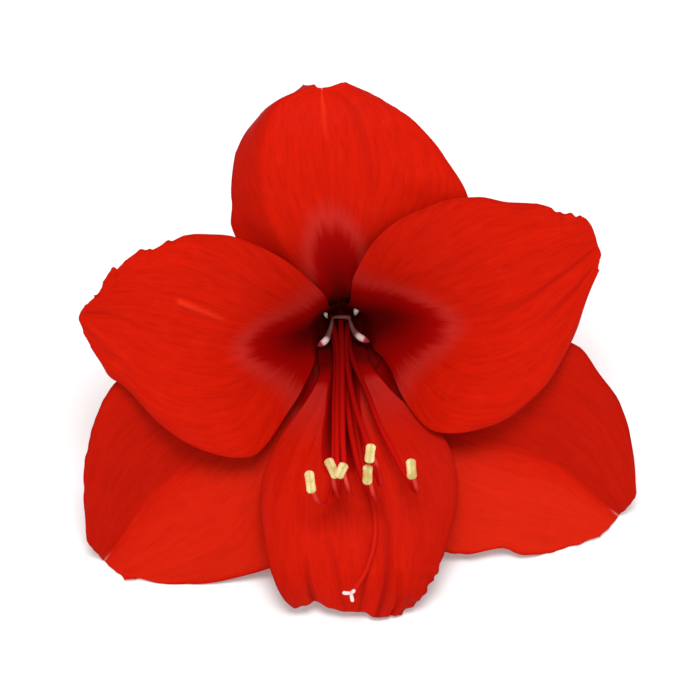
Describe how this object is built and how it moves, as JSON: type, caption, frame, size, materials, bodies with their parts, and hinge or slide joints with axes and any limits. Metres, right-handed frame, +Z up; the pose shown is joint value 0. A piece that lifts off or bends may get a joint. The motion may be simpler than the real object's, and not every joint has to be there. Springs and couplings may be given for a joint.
{
  "type": "red amaryllis bloom",
  "caption": "Open trumpet-shaped red amaryllis bloom with declined stamens, cut with a short green stalk and lying on a surface.",
  "frame": {"origin": "centre of the bounding box at the surface that the bloom lies on", "axes": "+X to the viewer's right across the bloom, its longest extent; +Z up; the open face looks towards -Y and upwards, and the stalk lies towards +Y"},
  "size_m": [0.1902, 0.149, 0.139],
  "materials": {
    "petal": "satin velvety red petal tissue with fine lengthwise veins and a dark maroon throat, filaments dark red, stigma and throat scales pale",
    "stalk": "smooth waxy fresh green plant stem",
    "anther": "matt powdery pale yellow pollen"
  },
  "bodies": {
    "root": {"bloom": "petal", "ovary_and_stalk": "stalk", "anther_1": "anther", "anther_2": "anther", "anther_3": "anther", "anther_4": "anther", "anther_5": "anther", "anther_6": "anther"}
  },
  "joints": []
}
